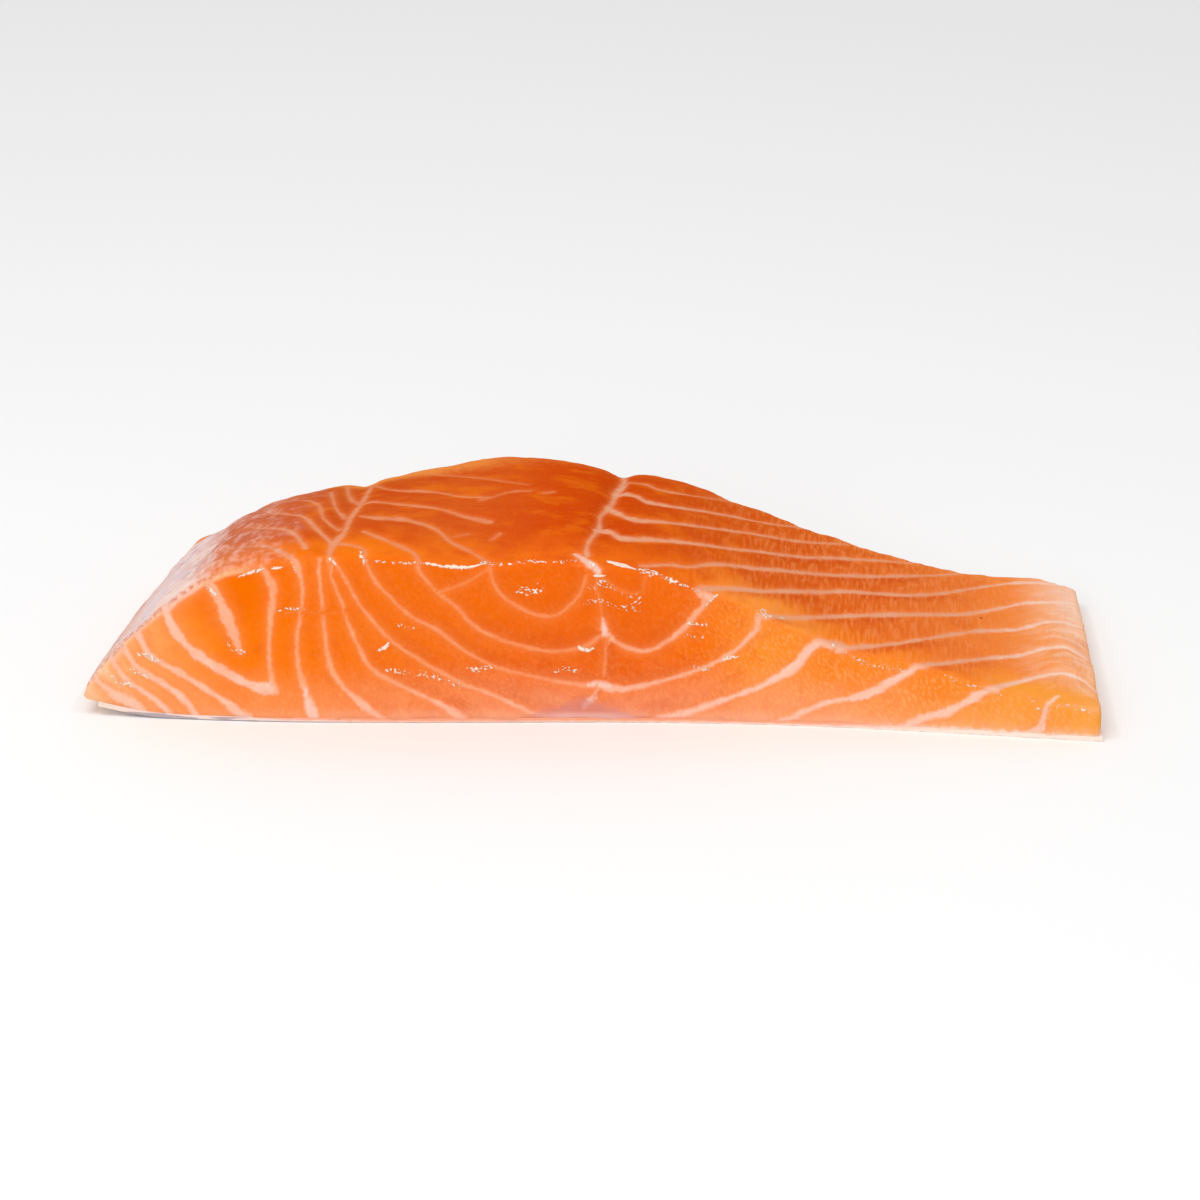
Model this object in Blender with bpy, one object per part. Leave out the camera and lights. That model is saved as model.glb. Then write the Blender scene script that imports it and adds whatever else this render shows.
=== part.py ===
"""A raw salmon portion with its skin on, a slab cut straight across one side of the fish.

X runs across the fish, from the thick back edge at -X to the thin belly edge at +X. Y runs along
the fish, from the front cut face to the rear one, and Z is up from the board that it lies on. The
flesh shows its inner side on top: a ridged surface that two grooves divide, where the sheets
between the muscles meet. The skin is a thin layer below, with its lower face flat on the board.
"""

from math import cos, exp, pi, sin

import bmesh
import bpy
import numpy as np

MM = 0.001

# Overall sizes, in millimetres
PORTION_WIDTH = 157.2
PORTION_DEPTH = 50.0
SKIN_THICKNESS = 0.8
SKIN_GAP = 0.3
BELLY_SKIN_LIP = 0.3
BARE_TIP = 2.4

# The front cut is a shallow S in plan: this far in front of and behind its mean line
FRONT_CUT_SWAY = 1.8
FRONT_CUT_NEAREST_X = -55.0
FRONT_CUT_HALF_WAVE = 80.0
REAR_CUT_SWAY = 0.5

# Where the back edge, the two grooves and the belly edge stand, across the front and the rear cut
FRONT_LANDMARKS = (-78.6, -40.0, 1.2, 78.3)
REAR_LANDMARKS = (-69.5, -39.0, 2.0, 75.0)
BACK_EDGE_BULGE = 0.6
BELLY_EDGE_BULGE = 0.3

# Height of the upper surface at points across the front cut
FRONT_TOP = (
    (-78.6, 4.1),
    (-74.0, 10.4),
    (-64.9, 19.7),
    (-57.4, 25.2),
    (-50.3, 26.8),
    (-37.0, 28.4),
    (-24.4, 27.3),
    (-17.6, 26.5),
    (-4.0, 27.3),
    (9.1, 25.0),
    (25.9, 18.9),
    (35.5, 14.4),
    (50.3, 11.3),
    (61.1, 8.3),
    (70.3, 6.1),
    (78.3, 5.0),
)

# Height of the upper surface at points across the rear cut
REAR_TOP = (
    (-69.5, 4.5),
    (-62.9, 9.8),
    (-53.0, 14.9),
    (-46.5, 17.3),
    (-36.8, 19.4),
    (-27.1, 21.9),
    (-15.1, 24.1),
    (-6.0, 23.3),
    (2.0, 21.6),
    (8.1, 21.0),
    (21.0, 16.5),
    (33.8, 11.9),
    (46.7, 7.8),
    (59.6, 5.3),
    (69.2, 4.8),
    (75.0, 3.4),
)

# The upper surface stays high for most of the way back, then falls to the rear cut
REARWARD_FALL_POWER = 1.7
MIDDLE_SWELL = 1.1

# The back edge curls up from the board
CURL_HEIGHT = 2.4
CURL_LENGTH = 16.0
CURL_POWER = 2.0

# Grooves in the upper surface
GROOVE_DEPTH = 0.8
GROOVE_HALF_WIDTH = 1.5

# Blocks of muscle swell between their sheets on the belly side, in slanting bands
BLOCK_LENGTH = 10.9
BLOCK_OFFSET = 3.5
BLOCK_SLANT = 60.0
BLOCK_SWELL = 0.35
BLOCK_FADE = 8.0

# The belly end is cut with a drooping edge
BELLY_DROOP = 1.0
BELLY_DROOP_LENGTH = 7.0

# A small lump of flesh stands on the back edge, at the rear cut
LUMP_HEIGHT = 1.5
LUMP_FROM_BACK_EDGE = 3.4
LUMP_HALF_WIDTH = 1.9
LUMP_HALF_LENGTH = 4.0

# Number of faces along each way, and how much closer they stand near edges and grooves
FLESH_COLUMNS = (16, 17, 31)
FLESH_ROWS = 14
FLESH_LAYERS = 5
SKIN_COLUMNS = (12, 8, 16)
SKIN_ROWS = 8
CROWDING = 0.5


def clear_scene():
    for old in list(bpy.data.objects):
        bpy.data.objects.remove(old)


def food_material(name, colour, roughness):
    """A Principled material with a plain colour, which no food makes metallic."""
    material = bpy.data.materials.new(name)
    material.use_nodes = True
    shader = material.node_tree.nodes["Principled BSDF"]
    shader.inputs["Base Color"].default_value = (*colour, 1.0)
    shader.inputs["Roughness"].default_value = roughness
    shader.inputs["Metallic"].default_value = 0.0
    return material


def smooth_height(points, x):
    """Height at x of a smooth curve through the points, by cubic pieces with shared slopes."""
    xs, zs = np.array(points).T
    slopes = np.gradient(zs, xs)
    i = int(np.clip(np.searchsorted(xs, x) - 1, 0, len(xs) - 2))
    step = xs[i + 1] - xs[i]
    s = (x - xs[i]) / step
    return float(
        zs[i] * (1 + 2 * s) * (1 - s) ** 2
        + zs[i + 1] * s * s * (3 - 2 * s)
        + step * slopes[i] * s * (1 - s) ** 2
        + step * slopes[i + 1] * s * s * (s - 1)
    )


def crowded(count):
    """Numbers from 0 to 1 in count steps, which are shorter near both ends."""
    even = np.linspace(0.0, 1.0, count + 1)
    return even - CROWDING * np.sin(2 * pi * even) / (2 * pi)


def column_places(columns):
    """Places across the portion, counted in spans: 0 is the back edge and 3 the belly edge."""
    spans = [span + crowded(count)[:-1] for span, count in enumerate(columns)]
    return [*np.concatenate(spans), float(len(columns))]


def front_cut_y(x):
    mean = -PORTION_DEPTH / 2 + FRONT_CUT_SWAY
    return mean - FRONT_CUT_SWAY * cos(pi * (x - FRONT_CUT_NEAREST_X) / FRONT_CUT_HALF_WAVE)


def rear_cut_y(x):
    return PORTION_DEPTH / 2 - REAR_CUT_SWAY * (1 - cos(2 * pi * x / PORTION_WIDTH)) / 2


def across(place, depth):
    """X at a place across the portion, at a depth that goes from 0 in front to 1 at the rear."""
    spans = range(len(FRONT_LANDMARKS))
    front = np.interp(place, spans, FRONT_LANDMARKS)
    rear = np.interp(place, spans, REAR_LANDMARKS)
    share = place / spans[-1]
    bulge = BELLY_EDGE_BULGE * share**4 - BACK_EDGE_BULGE * (1 - share) ** 4
    return front + (rear - front) * depth + bulge * sin(pi * depth)


def along(x, depth):
    return front_cut_y(x) * (1 - depth) + rear_cut_y(x) * depth


def groove(x, depth):
    """How far the two grooves press the surface down."""
    deepest = 0.0
    for landmark in (1, 2):
        middle = across(landmark, depth)
        deepest += exp(-(((x - middle) / GROOVE_HALF_WIDTH) ** 2))
    return GROOVE_DEPTH * deepest * min(1.0, 3 * depth)


def block_swell(x, depth):
    """The gentle ridges of the belly side, which run back from the second groove on a slant."""
    beyond = x - across(2, depth)
    if beyond <= 0:
        return 0.0
    phase = (beyond - BLOCK_SLANT * depth - BLOCK_OFFSET) / BLOCK_LENGTH
    return BLOCK_SWELL * abs(sin(pi * phase)) * min(1.0, beyond / BLOCK_FADE)


def lump(x, depth):
    """The small lump on the back edge."""
    aside = (x - across(0, depth) - LUMP_FROM_BACK_EDGE) / LUMP_HALF_WIDTH
    ahead = (1 - depth) * PORTION_DEPTH / LUMP_HALF_LENGTH
    return LUMP_HEIGHT * exp(-(aside**2) - ahead**2)


def curl(x, depth):
    """How far the back edge stands off the board."""
    reach = max(0.0, 1 - (x - across(0, depth)) / CURL_LENGTH)
    return CURL_HEIGHT * reach**CURL_POWER


def flesh_bottom(x, depth):
    return SKIN_THICKNESS + SKIN_GAP + curl(x, depth)


def flesh_top(place, depth):
    """Height of the upper surface between the two profiles, with all that swells or sinks it."""
    x = across(place, depth)
    front = smooth_height(FRONT_TOP, across(place, 0.0))
    rear = smooth_height(REAR_TOP, across(place, 1.0))
    height = front + (rear - front) * depth**REARWARD_FALL_POWER
    thick = min(1.0, height / max(h for _, h in FRONT_TOP))
    to_belly_edge = across(3, depth) - x
    droop = BELLY_DROOP * max(0.0, 1 - to_belly_edge / BELLY_DROOP_LENGTH) ** 2
    height += (MIDDLE_SWELL * thick - droop) * sin(pi * depth)
    return height - groove(x, depth) + block_swell(x, depth) + lump(x, depth)


def flesh_point(place, depth, level):
    x = across(place, depth)
    low = flesh_bottom(x, depth)
    high = flesh_top(place, depth)
    return x, along(x, depth), low + (high - low) * level


def skin_point(place, depth, level):
    """The skin reaches past the flesh at the belly edge and stops short of the tip at the back."""
    start = across(0, depth) + BARE_TIP
    end = across(3, depth) + BELLY_SKIN_LIP
    full = (across(place, depth) - across(0, depth)) / (across(3, depth) - across(0, depth))
    x = start + (end - start) * full
    return x, along(x, depth), curl(x, depth) + SKIN_THICKNESS * level


def wrapped_box(name, columns, rows, layers, point, material):
    """A closed box of quads whose surface is laid on the form that point describes."""
    places = column_places(columns)
    depths = crowded(rows)
    levels = crowded(layers) if layers > 1 else (0.0, 1.0)
    last = (len(places) - 1, len(depths) - 1, len(levels) - 1)
    body = bmesh.new()
    corners = {}

    def corner(*index):
        if index not in corners:
            i, j, k = index
            spot = point(places[i], depths[j], levels[k])
            corners[index] = body.verts.new([MM * value for value in spot])
        return corners[index]

    def side(fixed, at, first, second):
        """Quads over one side of the box, where the index numbered fixed stays the same."""
        for a in range(last[first]):
            for b in range(last[second]):
                ring = []
                for da, db in ((0, 0), (1, 0), (1, 1), (0, 1)):
                    index = [0, 0, 0]
                    index[fixed], index[first], index[second] = at, a + da, b + db
                    ring.append(corner(*index))
                body.faces.new(ring)

    for fixed, (first, second) in enumerate(((1, 2), (0, 2), (0, 1))):
        side(fixed, 0, first, second)
        side(fixed, last[fixed], first, second)
    bmesh.ops.recalc_face_normals(body, faces=body.faces)
    mesh = bpy.data.meshes.new(name)
    body.to_mesh(mesh)
    body.free()
    mesh.materials.append(material)
    mesh.shade_smooth()
    mesh.set_sharp_from_angle(angle=pi / 4)
    made = bpy.data.objects.new(name, mesh)
    bpy.context.scene.collection.objects.link(made)
    return made


def build_flesh():
    colour = food_material("salmon_flesh", (0.88, 0.19, 0.03), 0.35)
    return wrapped_box("flesh", FLESH_COLUMNS, FLESH_ROWS, FLESH_LAYERS, flesh_point, colour)


def build_skin():
    colour = food_material("salmon_skin", (0.50, 0.47, 0.46), 0.30)
    return wrapped_box("skin", SKIN_COLUMNS, SKIN_ROWS, 1, skin_point, colour)


def main():
    clear_scene()
    build_flesh()
    build_skin()


main()
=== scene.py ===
# %% [markdown]
# # A raw salmon portion
# This script dresses two plain solids, the flesh and the skin of a salmon portion, so that they
# look like the real food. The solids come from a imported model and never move. Each cell below
# makes one thing, and the text above it says what that thing is on a real portion, how it could
# be made, and why this way was chosen.

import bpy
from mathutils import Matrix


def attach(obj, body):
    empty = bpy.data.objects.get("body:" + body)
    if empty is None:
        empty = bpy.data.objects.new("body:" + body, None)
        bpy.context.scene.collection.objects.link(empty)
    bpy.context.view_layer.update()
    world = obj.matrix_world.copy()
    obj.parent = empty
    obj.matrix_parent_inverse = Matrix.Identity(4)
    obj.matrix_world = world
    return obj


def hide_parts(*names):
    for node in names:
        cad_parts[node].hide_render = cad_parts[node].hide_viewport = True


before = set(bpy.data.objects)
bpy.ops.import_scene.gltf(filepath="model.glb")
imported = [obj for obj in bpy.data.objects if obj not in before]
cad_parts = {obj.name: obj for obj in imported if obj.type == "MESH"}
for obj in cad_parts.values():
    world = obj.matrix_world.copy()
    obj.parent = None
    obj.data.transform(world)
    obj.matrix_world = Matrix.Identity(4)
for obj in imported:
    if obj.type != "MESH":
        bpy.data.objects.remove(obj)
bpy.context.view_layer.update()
print("the solids are", sorted(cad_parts))

# %% [markdown]
# ## Helpers for modelling
# Blender's operators act on whatever is selected, so a piece is always picked on its own first.
# Sizes are easier to think about in millimetres, while Blender counts in metres, so one value
# turns the one into the other.

# %% Modelling helpers
import math
from itertools import combinations

import bpy
import numpy as np
from mathutils import Vector, noise
from mathutils.bvhtree import BVHTree
from mathutils.kdtree import KDTree

MM = 0.001
SHORTEST = 1e-9


def pick(piece):
    """Selects one piece and nothing else, and makes it the active one."""
    bpy.ops.object.select_all(action="DESELECT")
    piece.select_set(True)
    bpy.context.view_layer.objects.active = piece


def apply_modifier(piece, kind, **settings):
    """Adds a modifier with these settings and applies it at once."""
    pick(piece)
    modifier = piece.modifiers.new(kind.lower(), kind)
    for name, value in settings.items():
        setattr(modifier, name, value)
    bpy.ops.object.modifier_apply(modifier=modifier.name)


def edit_all(piece, operator, **settings):
    """Runs an edit-mode operator on the whole piece."""
    pick(piece)
    bpy.ops.object.mode_set(mode="EDIT")
    bpy.ops.mesh.select_all(action="SELECT")
    operator(**settings)
    bpy.ops.object.mode_set(mode="OBJECT")


def read_points(piece):
    """The places of all the piece's points, in millimetres, one row each."""
    flat = np.empty(3 * len(piece.data.vertices), np.float32)
    piece.data.vertices.foreach_get("co", flat)
    return flat.reshape(-1, 3).astype(float) / MM


def read_normals(piece):
    """The directions that the surface faces at all the piece's points, one row each."""
    flat = np.empty(3 * len(piece.data.vertices), np.float32)
    piece.data.vertex_normals.foreach_get("vector", flat)
    return flat.reshape(-1, 3).astype(float)


def write_points(piece, points):
    """Moves all the piece's points to these places in millimetres."""
    piece.data.vertices.foreach_set("co", (points * MM).astype(np.float32).ravel())
    piece.data.update()


def write_attribute(piece, name, values):
    """Stores one number for each point, which a material can read by its name."""
    made = piece.data.attributes.new(name, "FLOAT", "POINT")
    made.data.foreach_set("value", np.asarray(values, np.float32))


def ease(value, start, end):
    """0 before start, 1 after end, and a smooth S between. start may be the larger one."""
    share = np.clip((value - start) / (end - start), 0.0, 1.0)
    return share * share * (3 - 2 * share)


def unit(directions):
    """The same directions, each one millimetre long."""
    lengths = np.linalg.norm(directions, axis=1, keepdims=True)
    return directions / np.maximum(lengths, SHORTEST)


def uneven(points, size, seed):
    """Smooth random numbers from about -1 to 1, with swells of the given size in millimetres."""
    shift = Vector((seed * 17.3, seed * 5.1, seed * 9.7))
    return np.array([noise.noise(Vector(p) / size + shift) for p in points])


print("the helpers are ready")

# %% [markdown]
# ## The camera
# The camera is made first, because the fat lines are traced through it later. The photo looks
# down on the portion by about 25 degrees and a little from the right. A long lens from 0.9 m away
# gives the same slight perspective.

# %% Camera
PHOTO_SIZE = 1200
CAMERA_TURN = math.radians(3.5)
CAMERA_RISE = math.radians(25.0)
CAMERA_DISTANCE = 900.0
CAMERA_TARGET = Vector((0.0, 0.0, 10.57))
PIXELS_PER_MM = 6.375
SENSOR_WIDTH = 36.0

to_camera = Vector((
    math.sin(CAMERA_TURN) * math.cos(CAMERA_RISE),
    -math.cos(CAMERA_TURN) * math.cos(CAMERA_RISE),
    math.sin(CAMERA_RISE),
))
camera_right = Vector((math.cos(CAMERA_TURN), math.sin(CAMERA_TURN), 0.0))
camera_up = to_camera.cross(camera_right)
camera_place = CAMERA_TARGET + CAMERA_DISTANCE * to_camera
focal_pixels = PIXELS_PER_MM * CAMERA_DISTANCE

camera_data = bpy.data.cameras.new("photo_camera")
camera_data.sensor_width = SENSOR_WIDTH
camera_data.lens = focal_pixels * SENSOR_WIDTH / PHOTO_SIZE
camera = bpy.data.objects.new("photo_camera", camera_data)
bpy.context.scene.collection.objects.link(camera)
camera.location = camera_place * MM
camera.rotation_mode = "QUATERNION"
camera.rotation_quaternion = (-to_camera).to_track_quat("-Z", "Y")
bpy.context.scene.camera = camera


def sight_line(x, y):
    """The direction from the camera through a point of the photo."""
    half = PHOTO_SIZE / 2
    line = camera_right * (x - half) + camera_up * (half - y) - to_camera * focal_pixels
    return line.normalized()


def seen_at(place):
    """Where in the photo a place shows, in pixels."""
    away = Vector(place) - camera_place
    depth = -away.dot(to_camera)
    half = PHOTO_SIZE / 2
    x = half + focal_pixels * away.dot(camera_right) / depth
    y = half - focal_pixels * away.dot(camera_up) / depth
    return x, y


print("the lens is", round(camera_data.lens, 1), "mm long")

# %% [markdown]
# ## The flesh
# The flesh is one soft, wet block. It could be built from a cube by hand, but its solid has the
# right form already, only with coarse flat faces and hard edges. So a copy of the solid is
# merged, remeshed into small even squares, and smoothed, which rounds its edges as a knife cut in
# soft flesh is round. The small squares also carry the pattern of fat that comes next.

# %% Flesh mesh
MERGE_WITHIN = 0.01
FLESH_SQUARE = 0.56
SMOOTH_SHARE = 0.5
SMOOTH_ROUNDS = 5

flesh = bpy.data.objects.new("salmon_flesh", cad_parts["flesh"].data.copy())
bpy.context.scene.collection.objects.link(flesh)
flesh.data.materials.clear()
edit_all(flesh, bpy.ops.mesh.remove_doubles, threshold=MERGE_WITHIN * MM)
apply_modifier(flesh, "REMESH", mode="VOXEL", voxel_size=FLESH_SQUARE * MM)
apply_modifier(flesh, "SMOOTH", factor=SMOOTH_SHARE, iterations=SMOOTH_ROUNDS)
flesh_points = read_points(flesh)
flesh_normals = read_normals(flesh)
print("the flesh has", len(flesh.data.polygons), "squares")

# %% [markdown]
# ## The sheets of fat
# Salmon muscle is a stack of nested cones, with a thin sheet of pale fat between each two. A cut
# shows the sheets as lines: rings on the cut face and slanting stripes on the inner side of the
# fillet. They could be one formula, but every fish differs, so the lines that show are traced
# here, as points of the photo with a line's half thickness at even steps along it. Each
# is then laid on the flesh by following the camera's sight lines.

# %% Traced lines
# Each line has its points, its half thicknesses in pixels from start to end, and how pale it is.
TRACED = {
    "middle_top": (((624, 475), (623, 485), (616, 494), (612, 503), (608, 509), (601, 515),
        (600, 526), (597, 531), (591, 538), (587, 546), (587, 554)),
        (2.4, 3, 3.4, 2, 3.2, 1.2, 1.3, 2.4, 1.2, 1.6, 2.6), 0.9),
    "middle_joint": (((577, 554), (585, 559), (594, 566), (600, 575)), (1.6, 5, 3.8, 2.2), 1.2),
    "middle_cut": (((597, 576), (597, 590), (600, 602), (602, 615)), (1.3, 0.8, 0.9), 0.4),
    "middle_cut_low": (((606, 638), (606, 647), (605, 665), (604, 676)), (0.9, 0.7, 0.8), 0.6),
    "middle_cut_foot": (((596, 692), (593, 698)), (1.5, 1.8), 0.9),
    "belly_1": (((626, 481), (647, 484), (660, 489), (692, 495), (727, 500), (752, 507)),
        (1.8, 1.4, 1, 0.4), 0.65),
    "belly_2": (((617, 495), (626, 494), (637, 496), (651, 502), (690, 508), (727, 514),
        (760, 521), (795, 526), (816, 529)), (3.6, 2, 1.6, 1.5, 1.3, 0.5), 0.85),
    "belly_3": (((610, 509), (635, 519), (670, 522), (727, 529), (760, 534), (802, 541),
        (848, 543)), (3, 1.8, 1.6, 1.6, 0.8), 0.82),
    "belly_4": (((597, 530), (612, 532), (624, 538), (670, 540), (727, 547), (760, 551),
        (807, 556), (866, 559), (913, 562)), (3, 2.6, 1.7, 1.9, 1.9, 0.9), 0.85),
    "belly_5": (((642, 565), (670, 564), (686, 566), (716, 564), (760, 568), (807, 572),
        (854, 575), (892, 575), (925, 575), (965, 572)), (0.9, 2.2, 2.4, 2.2, 2.3, 1.2), 0.8),
    "ring_belly_1": (((609, 636), (616, 642), (628, 648), (644, 651), (660, 646), (681, 631),
        (695, 615), (704, 605), (705, 596), (699, 589), (725, 588), (761, 590), (819, 591),
        (850, 591), (911, 594), (944, 592), (972, 588), (1008, 583), (1038, 582), (1066, 585)),
        (2, 1.7, 3.4, 2.6, 2.6, 2.5, 2.3, 1.9, 0.9), 0.85),
    "ring_belly_2": (((600, 687), (624, 689), (647, 685), (670, 679), (699, 670), (727, 656),
        (745, 642), (757, 628), (759, 617), (773, 616), (800, 617), (859, 615), (892, 614),
        (925, 614), (961, 613), (991, 609), (1024, 602), (1055, 601), (1074, 603)),
        (4, 1.3, 1.7, 2.6, 2.6, 2.8, 2.2, 2.2, 1.2), 0.88),
    "ring_belly_3": (((642, 717), (670, 713), (704, 706), (738, 695), (768, 683), (793, 670),
        (803, 657), (817, 643), (835, 644), (854, 647), (892, 643), (925, 638), (972, 631),
        (1020, 628), (1043, 622), (1064, 622), (1086, 629)),
        (2, 2.2, 2.6, 4.6, 2.8, 2.3, 2.4, 2.2, 1.2), 0.95),
    "ring_belly_3_thick": (((757, 688), (768, 683), (793, 668), (805, 655), (817, 645)),
        (2, 3, 4.4, 3.9, 2.6), 1),
    "ring_belly_4": (((760, 722), (796, 713), (831, 702), (854, 698), (883, 687), (906, 674),
        (921, 665), (949, 662), (984, 658), (1020, 654), (1043, 648), (1064, 646), (1076, 651),
        (1092, 662)), (1.4, 2, 2.8, 3.2, 2.5, 2.3, 2.2, 1.2), 0.95),
    "ring_belly_4_thick": (((831, 702), (854, 698), (883, 687), (914, 669)),
        (1.6, 3.2, 4.2, 3), 1),
    "ring_belly_5": (((892, 727), (920, 717), (949, 711), (973, 698), (996, 687), (1020, 681),
        (1043, 675), (1064, 672), (1086, 681), (1099, 693)),
        (2.4, 3.6, 3.8, 3.4, 2.1, 2, 1.2), 0.97),
    "ring_belly_6": (((996, 735), (1020, 732), (1035, 728), (1044, 717), (1048, 704), (1058, 696)),
        (2, 2.4, 1.8, 1.2), 0.9),
    "ring_belly_6_foot": (((984, 733), (1004, 732), (1022, 730), (1034, 728), (1041, 726)),
        (0.8, 2.2, 4.2, 2.4), 1),
    "lobe": (((601, 576), (614, 587), (630, 593), (642, 591), (645, 578)), (1.6, 1, 0.6), 0.25),
    "ring_back_1": (((362, 515), (381, 517), (406, 519), (435, 528), (451, 541), (473, 552),
        (484, 559), (490, 563), (492, 579), (502, 596), (520, 608), (541, 616), (559, 614),
        (577, 598), (583, 586), (586, 577)), (1.6, 2.2, 2, 1.2, 1.2, 1.4, 0.8), 0.6),
    "ring_back_2": (((365, 531), (392, 542), (416, 555), (419, 571), (438, 593), (454, 605),
        (474, 626), (497, 638), (520, 646), (546, 651), (569, 650), (588, 645), (600, 636)),
        (1.8, 2, 1.2, 1.5, 1.5, 1.4, 2.4), 0.6),
    "ring_back_2_fork": (((439, 592), (458, 586), (478, 576), (489, 568)), (1.4, 1.1, 0.7), 0.45),
    "ring_back_3": (((339, 542), (363, 548), (365, 560), (376, 582), (392, 599), (409, 615),
        (427, 625), (439, 631), (462, 649), (496, 667), (532, 676), (566, 683), (600, 687)),
        (1.6, 1.2, 1.3, 1.8, 1.3, 1.3, 1.3, 3.2), 0.65),
    "ring_back_4": (((329, 555), (344, 577), (357, 601), (371, 619), (392, 641), (419, 660),
        (440, 672), (463, 684), (486, 692), (509, 702), (532, 710), (548, 714)),
        (1.2, 1.2, 1.5, 1.7, 1.6, 1.2), 0.7),
    "ring_back_5": (((328, 558), (332, 579), (341, 601), (349, 625), (359, 648), (373, 670),
        (399, 685), (436, 702), (463, 714), (481, 720)), (1.2, 1.2, 1.7, 2.2, 2, 2.4), 0.75),
    "ring_back_6": (((319, 559), (319, 574), (322, 601), (325, 638), (330, 665), (341, 684),
        (360, 702), (390, 719)), (1.3, 1.3, 1.4, 2.4, 3, 2.4), 0.8),
    "ring_back_7": (((231, 547), (250, 546), (272, 547), (288, 555), (296, 563), (302, 585),
        (301, 611), (297, 638), (298, 665), (306, 692), (312, 706)),
        (1, 1.6, 2.6, 1.4, 1.5, 2, 4), 0.8),
    "ring_back_7_foot": (((305, 690), (310, 706), (316, 722)), (2.2, 3.6, 6.4), 1.3),
    "loop_right": (((262, 568), (267, 576), (273, 590), (270, 622), (269, 654), (271, 676),
        (274, 690)), (2.4, 4.4, 2.4, 1.5, 2, 4), 0.8),
    "loop_low": (((273, 690), (253, 686), (226, 673), (194, 652), (173, 628), (167, 611),
        (176, 600), (199, 586)), (4.6, 4.2, 4, 4.2, 2), 0.95),
    "loop_corner": (((256, 687), (272, 688)), (3.5, 4.5), 1),
    "strip": (((211, 586), (219, 600), (228, 620), (235, 638), (240, 652)),
        (3.4, 6, 5.4, 5, 1.4), 0.85),
    "tip_1": (((137, 633), (151, 656), (178, 672), (207, 690), (234, 707), (256, 717)),
        (3.6, 3, 2.8, 3.2), 0.92),
    "tip_2": (((123, 646), (137, 667), (163, 684), (182, 698), (204, 719)),
        (2.2, 2.8, 2.6, 3), 0.92),
    "tip_3": (((110, 656), (124, 677), (144, 692), (164, 705), (179, 718)),
        (2.2, 2.6, 2.4, 2.4), 0.92),
    "tip_4": (((94, 678), (112, 692), (131, 700), (148, 711)), (2.4, 3.6, 3.4), 0.9),
    "cross_back": (((284, 614), (301, 611), (325, 614), (345, 611)), (0.5, 0.9, 0.5), 0.2),
    "left_groove": (((372, 484), (361, 503), (349, 519), (344, 531), (333, 543), (328, 556)),
        (1.6, 2.6, 3.2, 2.6, 4.4, 1.6), 0.68),
    "fan_1": (((347, 484), (351, 498), (360, 504)), (1.2, 1.9, 1.6), 0.65),
    "fan_2": (((331, 491), (336, 507), (345, 518)), (1.2, 1.8, 1.8), 0.65),
    "fan_3": (((293, 500), (317, 503), (324, 518), (339, 529)), (1, 1.8, 1.5, 1.7), 0.65),
    "fan_4": (((269, 511), (301, 515), (317, 528), (331, 541)), (1.1, 2, 1.9), 0.75),
    "fan_5": (((253, 526), (290, 531), (302, 542), (305, 547)), (1.2, 1.9, 2.2), 0.75),
    "crest_1": (((430, 473), (486, 478), (527, 484)), (1.3, 0.9, 0.4), 0.45),
    "crest_2": (((373, 484), (392, 489), (435, 491), (463, 495), (492, 496)),
        (1.4, 1.6, 1.2, 0.5), 0.6),
    "crest_3": (((363, 503), (376, 501), (406, 504), (440, 508), (463, 515), (488, 521)),
        (1.5, 1.4, 1.2, 2.2), 0.6),
    "crest_branch": (((481, 499), (495, 495), (509, 491), (529, 490)), (1.2, 0.9, 0.5), 0.45),
    "crest_spot_1": (((492, 538), (499, 533)), (1, 1.6), 0.5),
    "crest_spot_2": (((453, 536), (467, 533)), (0.5, 0.9), 0.3),
    "crest_spot_3": (((545, 492), (551, 491)), (0.9, 1.2), 0.5),
    "joint_5": (((603, 619), (604, 627), (605, 633), (606, 638)), (0.4, 1.5, 4, 1.4), 1.2),
    "joint_6": (((588, 686), (598, 684), (611, 687)), (2, 4.6, 2.4), 1.25),
    "joint_7": (((586, 704), (591, 700), (595, 698)), (2.2, 3, 2.2), 1.3),
    "joint_8": (((700, 592), (707, 597)), (4, 5), 0.95),
}
print("lines traced by hand:", len(TRACED))

# %% [markdown]
# ## From the photo to the surface
# A smooth curve goes through the points of each line. The sight line through each place on the
# curve meets the flesh somewhere, and there the line lies. Its thickness in pixels becomes
# millimetres by how large a millimetre looks at that place, and noise makes it a little uneven.

# %% Lay the lines on the flesh
TRACE_STEP = 1.5
LINE_STEP = 0.25
FLATTEST_SHARE = 3
WOBBLE, WOBBLE_SIZE, WOBBLE_SEED = 0.5, 2.2, 5


def curve_through(points, step):
    """Points at even steps along a smooth curve through the given ones (Catmull-Rom)."""
    knots = np.array([points[0], *points, points[-1]], float)
    made = []
    for a, b, c, d in zip(knots, knots[1:], knots[2:], knots[3:]):
        count = max(1, round(np.linalg.norm(c - b) / step))
        for t in np.arange(count) / count:
            bend = (2 * a - 5 * b + 4 * c - d) * t**2 + (3 * b - 3 * c + d - a) * t**3
            made.append(0.5 * (2 * b + (c - a) * t + bend))
    return np.array([*made, knots[-1]])


def even_steps(places, step, *others):
    """The same line with its places, and the values that go with them, at even steps along it."""
    lengths = np.linalg.norm(np.diff(places, axis=0), axis=1)
    along = np.concatenate([[0.0], np.cumsum(lengths)])
    wanted = np.linspace(0.0, along[-1], max(2, round(along[-1] / step) + 1))
    parts = [np.stack([np.interp(wanted, along, axis) for axis in places.T], axis=1)]
    return parts + [np.interp(wanted, along, values) for values in others]


flesh_surface = BVHTree.FromPolygons(
    [Vector(p) for p in flesh_points], [list(face.vertices) for face in flesh.data.polygons]
)


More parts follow.
